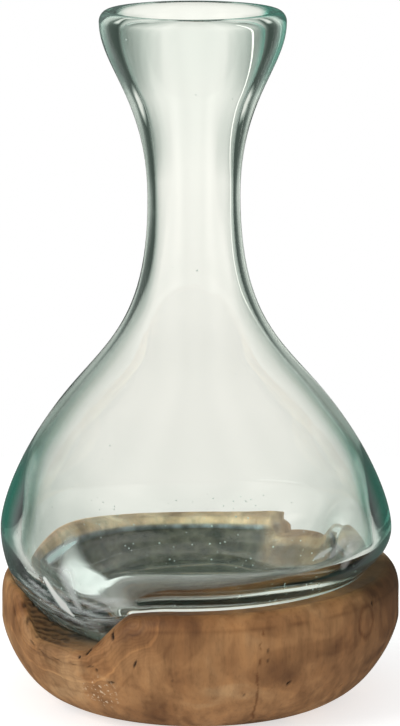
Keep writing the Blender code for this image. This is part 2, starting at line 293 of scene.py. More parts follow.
# Bottle above its belly, and its walls
bottleShape = {
    "bellyPull": 0.011,
    "shoulderRadius": 0.060, "shoulderHeight": 0.1385, "shoulderSlope": 1.25,
    "shoulderPullDown": 0.032, "shoulderPullUp": 0.031,
    "waistRadius": 0.0209, "waistHeight": 0.2305, "waistPullDown": 0.057, "waistPullUp": 0.044,
    "lipRadius": 0.0419, "lipHeight": 0.309, "lipPull": 0.020, "lipCrown": 0.0051,
    "shiftX": -0.0006, "leanX": -0.0014,
    "floorThickness": 0.008, "innerFloorRadius": 0.046, "wallFold": 0.0065,
    "wallBellySides": 0.0064, "wallBellyFront": 0.0046, "wallLowerShoulder": 0.0025,
    "lowerShoulderHeight": 0.118, "wallShoulder": 0.0028,
    "wallWaist": 0.0034, "flareShare": 0.55, "wallFlare": 0.0060, "wallLip": 0.0092,
    # how far the blown inner wall wanders, and the floor and bowl inside up and down
    "innerWave": 0.00022, "innerWaveAround": 2.2, "innerWaveUp": 26.0, "innerWaveFade": 0.01,
    "floorWave": 0.0004, "floorWaveX": 38.0, "floorWaveY": 30.0, "floorWaveLayer": 3.7,
    "floorWaveReach": 0.03,
    # wrinkles where the sag cooled on the wood, their milky pale colour painted light for what the sag lets
    # through, and where they start and are full
    "chillDepth": 0.00022, "chillEase": 6.0, "chillEnd": (246.0, 253.0),
    "chillHeights": (0.07, 0.061), "chillRadii": (0.048, 0.058), "chillBase": 0.3, "chillMost": 0.62,
    # their streaks, coarse and fine: amount, degrees across, rows up, lean, layer of the noise
    "chillStreaks": ((1.0, 13.0, 2.3, 8.0, 0.0), (0.7, 7.0, 1.3, 6.0, 5.0)),
    # the painted reflection, a pale patch: full at this share of its size, heights where it fades in
    # downwards, and how far its limit lies towards the eye in front
    "patchFull": 2 / 3, "patchHeights": (0.066, 0.056), "patchInFront": 0.1,
    # how finely the glass is drawn
    "columns": 300, "underRows": (18, 9, 22), "bowlRows": (18, 12, 22), "outerRows": (30, 26, 24),
    "lipSteps": 16, "lowRows": 5, "highRows": 14,
}

# The painted reflection inside the bowl, a pale kidney-shaped patch, as ovals: middle x and y, half sizes,
# lean in radians
paintedReflectionOvals = ((-0.0535, 0.0135, 0.0145, 0.028, -0.2), (-0.0545, -0.006, 0.0085, 0.0175, -0.1),
             (-0.043, 0.009, 0.0165, 0.0085, 0.35))
# It shows to an eye in front and low down, and not to one at the side and higher
patchEyes = (Vector((0.0, -0.979, 0.205)), Vector((0.64, -0.64, 0.42)))


def bend(p0, p1, p2, p3, count):
    share = (np.arange(1, count + 1) / count)[:, None]
    rest = 1.0 - share
    p0, p1, p2, p3 = (np.array(p) for p in (p0, p1, p2, p3))
    return rest ** 3 * p0 + 3 * rest ** 2 * share * p1 + 3 * rest * share ** 2 * p2 + share ** 3 * p3


def bottleOuterLine():
    s, b = vaseShape, bottleShape
    length = math.hypot(1.0, b["shoulderSlope"])
    way = np.array([-1.0 / length, b["shoulderSlope"] / length])
    belly = np.array([s["bellyRadius"], s["bellyHeight"]])
    shoulder = np.array([b["shoulderRadius"], b["shoulderHeight"]])
    waist = np.array([b["waistRadius"], b["waistHeight"]])
    lip = np.array([b["lipRadius"], b["lipHeight"]])
    up = np.array([0.0, 1.0])
    low, neck, high = b["outerRows"]
    return np.concatenate([
        bend(belly, belly + up * b["bellyPull"], shoulder - way * b["shoulderPullDown"], shoulder, low),
        bend(shoulder, shoulder + way * b["shoulderPullUp"], waist - up * b["waistPullDown"], waist, neck),
        bend(waist, waist + up * b["waistPullUp"], lip - up * b["lipPull"], lip, high)])


def wallThickness(height, angle):
    s, b = vaseShape, bottleShape
    belly = mix(b["wallBellyFront"], b["wallBellySides"], math.cos(math.radians(angle)) ** 2)
    flare = mix(b["waistHeight"], b["lipHeight"], b["flareShare"])
    heights = [s["bellyHeight"], b["lowerShoulderHeight"], b["shoulderHeight"], b["waistHeight"], flare,
               b["lipHeight"]]
    walls = [belly, b["wallLowerShoulder"], b["wallShoulder"], b["wallWaist"], b["wallFlare"], b["wallLip"]]
    out = np.full_like(height, walls[-1])
    for i in reversed(range(len(walls) - 1)):
        here = height <= heights[i + 1]
        share = rise(height, heights[i], heights[i + 1])
        out[here] = mix(walls[i], walls[i + 1], share[here])
    return out


def bottleInnerLine(outer, angle):
    # From the lip down inside the wall, then the inner face of the bowl to the floor
    s, b = vaseShape, bottleShape
    run = np.gradient(outer, axis=0)
    run[0] = run[-1] = (0.0, 1.0)
    run /= np.linalg.norm(run, axis=1)[:, None]
    wall = wallThickness(outer[:, 1], angle)[:, None]
    inner = (outer + np.stack([-run[:, 1], run[:, 0]], 1) * wall)[::-1]
    bowl = lowerForm(angle, s["seatGap"] + b["wallFold"], inner[-1, 0], b["innerFloorRadius"],
                     s["hollowFloorHeight"] + s["seatGap"] + b["floorThickness"], *b["bowlRows"])
    return np.concatenate([inner, bowl[1:]])


def chillAt(place, row):
    # How wrinkled the sag into the notch is, and how much milky painted light it takes: long streaks that run
    # round the glass
    b, start = bottleShape, vaseShape["notchStart"]
    angle = math.degrees(math.atan2(place.y, place.x)) % 360.0
    near = window(angle, start - b["chillEase"], start + b["chillEase"], *b["chillEnd"])
    near *= rise(place.z, *b["chillHeights"]) * rise(math.hypot(place.x, place.y), *b["chillRadii"])
    milk = b["chillBase"]
    for amount, across, up, lean, layer in b["chillStreaks"]:
        milk += amount * noise.noise(Vector((angle / across, row / up + angle / lean, layer)))
    return near * b["chillMost"] * rise(milk, 0.0, 1.0)


def paintedReflectionAt(place):
    share = 0.0
    for x, y, halfX, halfY, lean in paintedReflectionOvals:
        dx, dy = place.x - x, place.y - y
        along = (dx * math.sin(lean) + dy * math.cos(lean)) / halfY
        across = (dx * math.cos(lean) - dy * math.sin(lean)) / halfX
        share = max(share, float(rise(math.hypot(along, across), 1.0, bottleShape["patchFull"])))
    return share * rise(place.z, *bottleShape["patchHeights"])


def bottleLine(angle, outer):
    # Outline of the whole glass at one angle: underside, outer wall, lip, inner wall and inside of the bowl
    s, b = vaseShape, bottleShape
    under = glassPrint(angle, *b["underRows"])[::-1]
    inner = bottleInnerLine(np.concatenate([[[s["bellyRadius"], s["bellyHeight"]]], outer]), angle)
    middle = (b["lipRadius"] + inner[0, 0]) / 2
    half = (b["lipRadius"] - inner[0, 0]) / 2
    turn = np.radians(180.0 * np.arange(1, b["lipSteps"]) / b["lipSteps"])
    lip = np.stack([middle + half * np.cos(turn), b["lipHeight"] + b["lipCrown"] * np.sin(turn)], 1)
    around = Vector((math.cos(math.radians(angle)), math.sin(math.radians(angle)), 0.0))
    for point in inner:
        low = point[1] < s["bellyHeight"]
        fade = min(1.0, (point[0] - b["innerFloorRadius"]) / b["innerWaveFade"]) if low else 1.0
        place = around * b["innerWaveAround"] + Vector((0.0, 0.0, point[1] * b["innerWaveUp"]))
        point[0] += b["innerWave"] * noise.noise(place) * fade
    return np.concatenate([under, outer, lip, inner]), len(under), len(inner)


def blownBottle():
    s, b = vaseShape, bottleShape
    outer = bottleOuterLine()
    angles = np.arange(b["columns"]) * 360.0 / b["columns"]
    lines, shifts = [], []
    lean = b["leanX"] / (b["lipHeight"] - s["bellyHeight"])
    for angle in angles:
        line, under, inner = bottleLine(angle, outer)
        lines.append(line)
        shifts.append(b["shiftX"] + lean * np.maximum(0.0, line[:, 1] - s["bellyHeight"]))
    floor = s["hollowFloorHeight"] + s["seatGap"]
    low, high = (b["shiftX"], 0.0, floor), (b["shiftX"], 0.0, floor + b["floorThickness"])
    piece = sweptSkin("glass_bottle_blown", np.array(lines), np.array(shifts), angles, low, high,
                      b["lowRows"], b["highRows"])
    rows = b["lowRows"] + len(line) + b["highRows"]
    inside = b["lowRows"] + len(line) - inner
    last = rows * len(angles) + 1
    chill, mirrored = np.zeros(last + 1), np.zeros(last + 1)
    mirrorFrom = np.ones(last + 1)
    for vertex in piece.data.vertices:
        row = vertex.index % rows
        if row >= inside or vertex.index == last:
            low = rise(vertex.co.z, s["bellyHeight"], s["bellyHeight"] - b["floorWaveReach"])
            place = (vertex.co.x * b["floorWaveX"], vertex.co.y * b["floorWaveY"], b["floorWaveLayer"])
            vertex.co.z += b["floorWave"] * low * noise.noise(Vector(place))
            # The painted reflection in the bowl
            mirrored[vertex.index] = paintedReflectionAt(vertex.co)
        elif row < b["lowRows"] + under:
            chill[vertex.index] = chillAt(vertex.co, row)
            outward = Vector((vertex.co.x, vertex.co.y, 0.0)).normalized()
            vertex.co -= outward * b["chillDepth"] * chill[vertex.index]
    piece.data.update()
    for k in np.nonzero(mirrored)[0]:
        normal = piece.data.vertices[int(k)].normal
        inFront, beside = (1.0 - abs(normal.dot(eye)) for eye in patchEyes)
        mirrorFrom[k] = mix(beside, inFront, b["patchInFront"])
    giveAttributes(piece.data, {"chill": chill, "mirrored": mirrored, "mirrorFrom": mirrorFrom})
    return piece


# Looks of the glass. Pairs say where something starts and is full: heights and places in metres, turns in
# shares of facing away from the eye.
glassLook = {
    "clearColour": "ffffff", "edgeColour": "42b8a1", "lipColour": "6fc4b0", "edgeTurn": (0.5, 0.78),
    "bellyTop": (0.13, 0.1), "bellyFoot": (0.066, 0.086), "lipHeight": (0.272, 0.298),
    "lipAcross": (-0.035, 0.03), "lipShares": (0.45, 1.0),      # the lip is greener to the right
    # how much the green edge lets through; the rest shows its green lit like a solid, painted light for light
    # carried along the wall
    "thinShare": 0.2, "edgeLets": 0.6,
    # painted shade: darker bands near the edges of the lower glass, by how far its face turns from the eye,
    # and the height above which they fade
    "paintedEdgeShade": ((0.62, 1.0), (0.72, (0.66, 0.7, 0.65)), (0.81, (0.55, 0.69, 0.66)), (0.89, 1.0), (1.0, 1.0)),
    "paintedEdgeShadeTop": (0.17, 0.12),
    # the milky colour of the sag, painted light, and how much clearness the haze and the painted highlights
    # take
    "chillPaintedLightColour": "d6e2dd", "milkyAndHighlightsTakes": 0.62,
    # the painted reflection: its light colour, the turn at which it shows, and how much clearness it takes
    "patchLight": (1.5, 1.5, 1.5, 1.0), "patchTurn": (0.0, 0.07), "patchTakes": 0.9,
    "paintedHighlightFade": (1.1, 0.2), "paintedHighlightMiddle": 0.7,
    "refraction": 1.52, "depthColour": "b4e0d5", "depthDensity": 12.0, "shadowColour": "eef6f2",
}

# Painted highlights along the low glass, each from start to end (metres): half width, how much of it is
# there, the colours of its edge and its middle, and how its width runs from start to end
paintedGlassHighlights = (
    ((-0.0675, -0.0575, 0.0679), (-0.0548, -0.0609, 0.0525), 0.005, 1.25, "3fa592", "f3f5f0",
     ((0.0, 0.35), (0.3, 0.6), (0.7, 1.0), (1.0, 0.3))),
    ((-0.0576, -0.0683, 0.0725), (-0.0512, -0.0668, 0.056), 0.006, 0.55, "b4c2be", "c9d1cc",
     ((0.0, 1.0), (0.3, 0.8), (1.0, 0.35))),
    ((-0.0655, -0.0612, 0.0775), (-0.0535, -0.0699, 0.0880), 0.0032, 0.6, "58b8a6", "a9ddd2",
     ((0.0, 0.8), (0.5, 1.0), (1.0, 0.3))),
    ((0.0515, -0.0723, 0.0810), (0.0590, -0.0656, 0.0840), 0.0022, 0.55, "5fb8a6", "dfece6",
     ((0.0, 0.4), (0.4, 1.0), (1.0, 0.4))),
    ((0.0585, -0.0664, 0.0805), (0.0648, -0.0597, 0.0858), 0.0028, 0.38, "9db8b0", "e6ece6",
     ((0.0, 0.4), (0.5, 1.0), (1.0, 0.7))),
    ((0.0655, -0.0602, 0.0750), (0.0688, -0.0560, 0.0840), 0.0042, 0.3, "b0bdb8", "dfe4dd",
     ((0.0, 0.8), (0.4, 1.0), (1.0, 0.4))),
)


def paintedHighlightShare(tree, place, start, end, halfWidth, taper):
    # Share of one painted highlight, which runs straight along the skin and fades at its edge
    add = partial(addNode, tree)
    start, way = Vector(start), Vector(end) - Vector(start)
    run = add("vector_dot_product", add("vector_subtract", place, start), way / way.length_squared)
    along = add("add", run, 0.0, use_clamp=True)
    off = add("vector_distance", place, add("vector_multiply_add", along, way, start))
    width = add("multiply", colourSteps(tree, along, taper), halfWidth)
    return add("softRange", add("divide", off, width), *glassLook["paintedHighlightFade"])


def recycledGlass():
    # Recycled soda glass, blown, so it is smooth and clear where the eye looks straight through it and sea
    # green where light grazes and runs along it
    material, tree = newMaterial("recycled_glass")
    add, look = partial(addNode, tree), glassLook
    facing = add("ShaderNodeLayerWeight", 0.5).outputs["Facing"]
    place = add("ShaderNodeTexCoord").outputs["Object"]
    x, _, z = add("ShaderNodeSeparateXYZ", place).outputs
    chill, limit, patch = (add("ShaderNodeAttribute", attribute_name=name).outputs["Fac"] for name in (
        "chill", "mirrorFrom", "mirrored"))

    # Green where the wall is thick, in the belly and the lip
    belly = add("multiply", add("softRange", z, *look["bellyTop"]), add("softRange", z, *look["bellyFoot"]))
    high = add("softRange", z, *look["lipHeight"])
    lip = add("multiply", high, add("range", x, *look["lipAcross"], *look["lipShares"]))
    depth = add("range", add("maximum", belly, lip), 0.0, 1.0, look["thinShare"], 1.0)
    green = add("multiply", depth, add("softRange", facing, *look["edgeTurn"]))
    teal = add("colourMix", high, linearColour(look["edgeColour"]), linearColour(look["lipColour"]))
    tinted = add("colourMix", green, linearColour(look["clearColour"]), teal)
    # Painted shade: darker bands near the edges of the lower glass
    paintedEdgeShade = colourSteps(tree, facing, look["paintedEdgeShade"])
    colour = add("colourTimes", add("softRange", z, *look["paintedEdgeShadeTop"]), tinted, paintedEdgeShade)
    # Painted light: where it is green the glass lets less through and shows its green lit like a solid,
    # standing in for light carried along the thick wall
    clear = add("range", green, 0.0, 1.0, 1.0, look["edgeLets"])

    # Milky where the sag cooled on the wood, its pale colour painted light for what the sag lets through; and
    # a painted reflection, pale where the underside of the thick bottom throws the light back, which shows
    # from low down only
    sheen = add("multiply", add("softRange", add("subtract", facing, limit), *look["patchTurn"]), patch)
    colour = add("colourMix", chill, colour, linearColour(look["chillPaintedLightColour"]))
    colour = add("colourMix", sheen, colour, look["patchLight"])
    milkyAndHighlights = chill
    # Painted highlights laid over the glass, which also take away some of its clearness
    for start, end, halfWidth, amount, edgeColour, middleColour, taper in paintedGlassHighlights:
        share = paintedHighlightShare(tree, place, start, end, halfWidth, taper)
        tone = colourSteps(tree, share, ((0.0, edgeColour), (look["paintedHighlightMiddle"], middleColour)))
        laid = add("multiply", share, amount, use_clamp=True)
        colour = add("colourMix", laid, colour, tone)
        milkyAndHighlights = add("maximum", milkyAndHighlights, laid)
    kept = add("multiply", add("multiply_add", milkyAndHighlights, -look["milkyAndHighlightsTakes"], 1.0),
               add("multiply_add", sheen, -look["patchTakes"], 1.0))
    surface = add("ShaderNodeBsdfPrincipled", Roughness=0.0, IOR=look["refraction"], **{
        "Base Color": colour, "Transmission Weight": add("multiply", clear, kept)})
    # Its shadow is drawn as a plain tint
    through = add("ShaderNodeBsdfTransparent", linearColour(look["shadowColour"]))
    inShadow = add("ShaderNodeLightPath").outputs["Is Shadow Ray"]
    tint = add("ShaderNodeVolumeAbsorption", linearColour(look["depthColour"]), look["depthDensity"])
    add("ShaderNodeOutputMaterial", add("ShaderNodeMixShader", inShadow, surface, through), tint)
    return material


# Seeds: the small bubbles that recycled glass keeps, most of them in the thick bottom
seedSizes = {
    "Seeds per Square Metre": 9000.0, "Smallest": 0.0002, "Largest": 0.0005, "Seed": 7,
}
seedSkin = {"bottom": 1.0, "above": 0.03, "bottomHeight": 0.07, "turns": 72, "rows": (12, 6, 12)}


def midWall():
    # A skin halfway through the glass, on which the seeds lie
    s, b = vaseShape, bottleShape
    turns, rows = seedSkin["turns"], seedSkin["rows"]
    outer = bottleOuterLine()[::3]
    floor = s["hollowFloorHeight"] + s["seatGap"] + b["floorThickness"]
    vertices, faces = [], []
    for k in range(turns):
        angle = 360.0 * k / turns
        under = glassPrint(angle, *rows)
        bowl = lowerForm(angle, s["seatGap"] + b["wallFold"], s["bellyRadius"] - b["wallBellyFront"],
                         b["innerFloorRadius"], floor, *rows)
        walls = wallThickness(outer[:, 1], angle)
        line = np.concatenate([((under + bowl) / 2)[::-1], movedAlongNormal(outer, walls / 2)])
        turn = math.radians(angle)
        vertices += [(r * math.cos(turn) + b["shiftX"], r * math.sin(turn), z) for r, z in line]
    count = len(line)
    for k in range(turns):
        here, after = k * count, (k + 1) % turns * count
        faces += [(here + i, after + i, after + i + 1, here + i + 1) for i in range(count - 1)]
    piece = newPiece("glass_seeds", vertices, faces)
    low = np.array([vertex[2] < seedSkin["bottomHeight"] for vertex in vertices])
    giveAttributes(piece.data, {"seedShare": np.where(low, seedSkin["bottom"], seedSkin["above"])})
    return piece


def scatteredSeeds(material):
    # Strews small round bubbles of random width over the skin halfway through the glass
    tree, size = sizedTree("scattered_seeds", seedSizes)
    add = partial(addNode, tree)
    density = add("multiply", add("storedNumber", "seedShare"), size["Seeds per Square Metre"])
    points = add("GeometryNodeDistributePointsOnFaces", size["Geometry"], Density=density, Seed=size["Seed"])
    bubble = add("GeometryNodeMeshIcoSphere", 1.0, 1)
    width = add("FunctionNodeRandomValue", size["Smallest"], size["Largest"], Seed=size["Seed"],
                data_type="FLOAT")
    placed = add("GeometryNodeInstanceOnPoints", points, Instance=bubble, Scale=width)
    smooth = add("GeometryNodeSetShadeSmooth", add("GeometryNodeRealizeInstances", placed))
    add("NodeGroupOutput", add("GeometryNodeSetMaterial", smooth, Material=material))
    return tree


def seedBubble():
    # Air trapped in the glass: pale specks, their pale colour painted light that stands in for the glints
    # they catch
    material, tree = newMaterial("trapped_air")
    surface = addNode(tree, "ShaderNodeBsdfPrincipled", Roughness=0.08, IOR=1.33, **{
        "Base Color": linearColour("f4faf7"), "Transmission Weight": 0.15})
    addNode(tree, "ShaderNodeOutputMaterial", surface)
    return material


# Wooden base: how finely it is drawn, in degrees and rows, and how its rim is rounded
woodShape = {
    "coarseStep": 2.0, "frontStep": 0.62, "notchStep": 0.34, "beforeNotch": 3.0, "afterNotch": 6.0,
    "frontEnd": 335.0, "sideRows": 84, "sideSpacing": 1.4, "cornerRows": 14, "topRows": 15,
    "printRows": (18, 9, 30), "edgeSteps": 6, "footRows": 4, "floorRows": 12,
    "roundShare": 0.7,             # most of the rim's width that its rounding may take
    "freeGap": 1.5,                # clearances between the wood and the glass that hangs free
}

# Where its marks lie, most as where they start and are full, angles in degrees and the rest in metres
woodZones = {
    "notch": (199.0, 203.0, 244.0, 252.0), "lipPoints": 90, "lipInset": 0.0015,
    "ridges": (200.0, 203.0, 216.0, 232.0), "ridgesOffLip": (0.0025, 0.0055), "ridgesInner": 0.03,
    "grooveLean": 0.3, "charMargin": 0.002, "charBelowRim": (0.002, 0.0035), "charInNotch": (0.009, 0.025),
    # The rim top behind the glass and the top inside the step are painted paler, as light falls on them
    "stepMargins": (4.0, 2.0, 6.0), "stepHeights": (0.034, 0.04), "stepBare": 0.75, "stepLitTop": 0.4,
    "rimEase": (12.0, 4.0), "litTopDepths": (0.0, 0.03), "litTopRadii": (0.06, 0.066),
    "litTopBelowRim": ((-0.0025, -0.005), (-0.0005, -0.003)),     # each outside, inside
    "outerHeights": (0.001, 0.005), "pitsInner": 0.07, "pitEdge": (1.35, 0.35),
    "noKnot": 9.0,                                              # too far off the knot to show it
}

# What the carver and the tree left on it, in metres, as the node tree takes it
woodMarks = {
    "Groove Spacing": 0.0021, "Groove Depth": 0.00055, "Groove Wander": 2.2,
    "Lip Width": 0.0049, "Lip Line Depth": 0.0004, "Lip Line Half Width": 0.0008,
    "Lip Line Wave": 0.0066667, "Lip Line Wander": 0.003,
    "Hand Mark Size": 0.022, "Hand Mark Depth": 0.0005, "Hand Mark Spread": 0.3,
    "Char Grain": 0.0016, "Char Depth": 0.00025,
}
grooveSharpness = 1.5

# Pits, slits and cracks: angle, height, half length, half width, lean from upright in degrees, depth (mm)
woodPits = (
    (251.6, 37.0, 2.2, 0.55, 20, 0.7), (243.4, 26.3, 1.9, 0.6, 85, 0.6), (244.3, 48.6, 2.2, 0.6, -38, 1.2),
    (235.6, 39.0, 1.1, 1.0, 0, 1.2), (217.8, 41.4, 2.0, 0.9, 60, 1.2), (231.4, 39.8, 0.7, 0.6, 0, 0.6),
    (228.6, 38.9, 0.7, 0.6, 0, 0.6), (239.3, 31.6, 0.8, 0.7, 0, 0.6), (203.6, 54.6, 0.9, 0.7, 0, 0.7),
    (296.4, 25.9, 1.5, 0.7, 35, 0.7), (328.1, 54.1, 1.2, 0.9, 0, 0.7), (283.0, 21.9, 1.0, 0.45, 30, 0.4),
    (319.7, 17.6, 1.3, 0.4, 60, 0.4), (288.9, 43.0, 1.4, 0.5, 10, 0.4), (289.0, 38.5, 1.0, 0.6, 0, 0.4),
    (262.0, 30.0, 0.6, 0.4, 0, 0.3), (303.0, 33.0, 0.6, 0.4, 0, 0.3), (120.0, 30.0, 2.0, 0.7, 15, 0.7),
    (65.0, 24.0, 1.5, 0.6, 70, 0.6), (10.0, 36.0, 1.4, 0.5, 20, 0.6), (160.0, 40.0, 1.2, 0.8, 40, 0.6),
    # the worn lip of the notch
    (213.5, 36.3, 2.6, 0.42, 118, 0.45), (218.0, 34.2, 2.9, 0.36, 112, 0.4),
    (224.6, 32.5, 3.0, 0.4, 99, 0.45), (231.5, 32.1, 2.2, 0.32, 84, 0.35), (237.4, 32.8, 2.4, 0.38, 76, 0.45),
    (233.4, 36.4, 0.8, 0.7, 0, 0.8), (213.1, 39.4, 1.3, 0.6, 130, 0.8), (205.5, 50.4, 1.6, 0.35, 140, 0.5),
    (208.6, 44.6, 2.4, 0.35, 150, 0.45),
)

# A small healed knot at the right: angle, height, half width, half height (mm)
woodKnot = (324.4, 47.0, 5.2, 7.0)


def woodAngles():
    # Fine round the notch, less fine in front and coarse behind
    s, w = vaseShape, woodShape
    notchFrom = s["notchStart"] - w["beforeNotch"]
    notchTo = s["notchEnd"] + w["afterNotch"]
    zones = [(notchFrom, notchTo, w["notchStep"]), (notchTo, w["frontEnd"], w["frontStep"]),
             (w["frontEnd"], notchFrom + 360.0, w["coarseStep"])]
    angles = []
    for start, end, step in zones:
        count = max(1, round((end - start) / step))
        angles += [start + (end - start) * i / count for i in range(count)]
    return np.array(angles) % 360.0


def seatLine(angle):
    # The hollow: the rim's round inner edge, then the print of the glass with its clearance
    s, w = vaseShape, woodShape
    seat = movedAlongNormal(glassPrint(angle, *w["printRows"]), s["seatGap"])[w["printRows"][0]:]
    seat[-1] = (s["hollowFloorRadius"], s["hollowFloorHeight"])
    turn = np.radians(s["foldSlope"]) * np.arange(w["edgeSteps"]) / w["edgeSteps"]
    heights = wholeRimHeight(angle) - s["seatEdgeRound"] * (1.0 - np.cos(turn))
    radii = s["seatRadius"] + s["seatEdgeRound"] * (1.0 - np.sin(turn))
    floor = s["hollowFloorHeight"] + s["seatGap"]
    free = freeRadius(heights, s["bellyRadius"], s["hollowFloorRadius"], floor)
    edge = np.stack([mix(radii, free + w["freeGap"] * s["seatGap"], sagShare(angle)), heights], 1)
    return np.concatenate([edge, seat])


def baseLine(angle):
    # Outline of the wood at one angle: outside, rounded rim, flat top and hollow
    s, b, w = vaseShape, bottleShape, woodShape
    rim = rimHeightAt(angle)
    cut = notchShare(angle)
    seat = seatLine(angle)
    seatEdge = seat[0, 0]
    rimWidth = s["baseRadius"] + (s["rimShiftX"] - b["shiftX"]) * math.cos(math.radians(angle)) - seatEdge
    width = min(mix(s["shoulderWidth"], s["notchLipRound"], cut), rimWidth * w["roundShare"])
    drop = mix(s["shoulderDrop"], s["notchLipRound"], cut)
    side = (rim - drop) * np.linspace(0.0, 1.0, w["sideRows"]) ** w["sideSpacing"]
    turn = np.radians(90.0 * np.arange(1, w["cornerRows"] + 1) / w["cornerRows"])
    heights = np.concatenate([side, rim - drop + drop * np.sin(turn)])
    radii = baseOuterRadius(heights)
    radii[w["sideRows"]:] -= width * (1.0 - np.cos(turn))
    outerShift = s["rimShiftX"] * np.minimum(1.0, heights / s["undersideHeight"])
    shares = np.arange(1, w["topRows"] + 1) / (w["topRows"] + 1)
    topRadii = mix(radii[-1], seatEdge, shares)
    topShift = mix(s["rimShiftX"], b["shiftX"], shares)
    line = np.concatenate([np.stack([radii, heights], 1),
                           np.stack([topRadii, np.full(w["topRows"], rim)], 1),
                           np.stack([seat[:, 0], np.minimum(seat[:, 1], rim)], 1)])
    shift = np.concatenate([outerShift, topShift, np.full(len(seat), b["shiftX"])])
    return line, shift


def notchEdgePoints():
    # Points along the lip of the notch, a little inside the wood
    s, w = vaseShape, woodZones
    points = []
    for angle in np.linspace(s["notchStart"], s["notchEnd"], w["lipPoints"]):
        height = rimHeightAt(angle) - w["lipInset"]
        radius = float(baseOuterRadius(height)) - w["lipInset"]
        turn = math.radians(angle)
        points.append((radius * math.cos(turn) + s["rimShiftX"], radius * math.sin(turn), height))
    return np.array(points)


def markWood(mesh, outerRows, columns):
    # Where on the wood the grain, char, lip line, knot and pits go, as one number each at every point
    s, w = vaseShape, woodZones
    place = np.empty(len(mesh.vertices) * 3)
    mesh.vertices.foreach_get("co", place)
    place = place.reshape(-1, 3)
    rows = (len(place) - 2) // columns
    outside = np.append(np.tile(np.arange(rows), columns), [0, rows]) < outerRows
    angle = np.degrees(np.arctan2(place[:, 1], place[:, 0] - s["rimShiftX"])) % 360.0
    radius = np.hypot(place[:, 0], place[:, 1])
    height = place[:, 2]
    rim = np.array([rimHeightAt(turn) for turn in angle])
    lip = np.full(len(place), 1.0)
    for point in notchEdgePoints():
        lip = np.minimum(lip, np.linalg.norm(place - point, axis=1))

    ridged = window(angle, *w["ridges"]) * rise(lip, *w["ridgesOffLip"]) * (radius > w["ridgesInner"])
    before, into, past = w["stepMargins"]
    inStep = window(angle, s["stepStart"] - before, s["stepStart"] + into, s["stepEnd"], s["stepEnd"] + past)
    inStep = inStep * rise(height, *w["stepHeights"])
    seatReach = s["seatRadius"] + s["seatEdgeRound"] + w["charMargin"]
    inHollow = rise(rim - height, *w["charBelowRim"]) * (radius < seatReach) * (1.0 - w["stepBare"] * inStep)
    inNotch = rise(s["baseRadius"] - radius, *w["charInNotch"])
    char = mix(inHollow, inNotch, window(angle, *w["notch"]))
    stripEnd, stripStart = s["notchStart"] - w["rimEase"][0], s["notchEnd"] + w["rimEase"][1]
    uncut = outside & ((angle < stripEnd) | (angle > stripStart))
    # Painted light on the rim top behind the glass, and on the top inside the step
    behind = rise(place[:, 1], *w["litTopDepths"]) * rise(radius, *w["litTopRadii"])
    paintedLitTop = behind * rise(height - rim, *(np.where(outside, *pair) for pair in w["litTopBelowRim"]))

    around = np.radians(angle) * s["baseRadius"] * 1000.0
    pit = np.zeros(len(place))
    for turn, up, halfLength, halfWidth, lean, depth in woodPits:
        x = around - math.radians(turn) * s["baseRadius"] * 1000.0
        y = height * 1000.0 - up
        tilt = math.radians(lean)
        off = np.hypot((x * math.sin(tilt) + y * math.cos(tilt)) / halfLength,
                       (x * math.cos(tilt) - y * math.sin(tilt)) / halfWidth)
        pit = np.maximum(pit, np.where(radius > w["pitsInner"], depth * rise(off, *w["pitEdge"]), 0.0))
    turn, up, halfWidth, halfHeight = woodKnot
    offKnot = np.hypot((around - math.radians(turn) * s["baseRadius"] * 1000.0) / halfWidth,
                       (height * 1000.0 - up) / halfHeight)
    giveAttributes(mesh, {
        "lipDistance": np.where(outside, lip, 0.0),
        "grooveShare": np.where(outside, 0.0, ridged),
        "grooveRun": height + w["grooveLean"] * (s["baseRadius"] - radius),
        "charShare": np.where(outside, 0.0, char),
        "rimDrop": np.where(uncut, rim - height, 1.0),
        "paintedLitTop": np.maximum(paintedLitTop, w["stepLitTop"] * inStep * ~outside),
        "outerShare": np.where(outside, rise(height, *w["outerHeights"]), 0.0),
        "pitDepth": pit / 1000.0,
        "knotDistance": np.where(outside, offKnot, w["noKnot"]),
    })


def rootWoodBase():
    s, b, w = vaseShape, bottleShape, woodShape
    angles = woodAngles()
    lines, shifts = zip(*(baseLine(angle) for angle in angles))
    piece = sweptSkin("wooden_base_carved", np.array(lines), np.array(shifts), angles, (0.0, 0.0, 0.0),
                      (b["shiftX"], 0.0, s["hollowFloorHeight"]), w["footRows"], w["floorRows"])
    markWood(piece.data, w["footRows"] + w["sideRows"] + w["cornerRows"], len(angles))
    return piece


